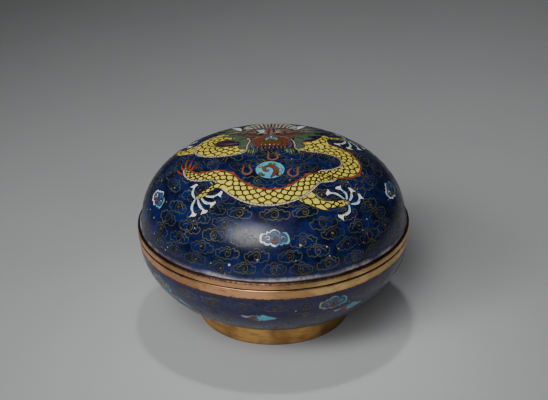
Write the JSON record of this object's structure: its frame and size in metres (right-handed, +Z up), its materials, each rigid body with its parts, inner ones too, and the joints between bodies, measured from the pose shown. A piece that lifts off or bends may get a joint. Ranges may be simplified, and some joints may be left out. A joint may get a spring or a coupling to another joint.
{
  "type": "covered decorative box",
  "caption": "Low round covered box with a domed lift-off lid, a lipped bowl and a plain foot ring, in enamelled metal, for small things such as incense.",
  "frame": {"origin": "centre of the foot ring's underside, on the surface the box stands on", "axes": "+Z up along the axis that the box is turned about; -Y towards the side that shows the dragon the right way up"},
  "size_m": [0.14, 0.14, 0.0941],
  "materials": {
    "blue_enamel": "polished dark blue enamel between fine metal wires",
    "foot_metal": "worn satin, brown patina",
    "rim_metal": "worn satin, reddish, dark towards the enamel",
    "wire_metal": "fine flush wires, dull with age",
    "figure_enamel": "opaque coloured enamels, polished flush"
  },
  "bodies": {
    "root": {"lid": "blue_enamel", "bowl": "blue_enamel", "foot_ring": "foot_metal"}
  },
  "joints": []
}
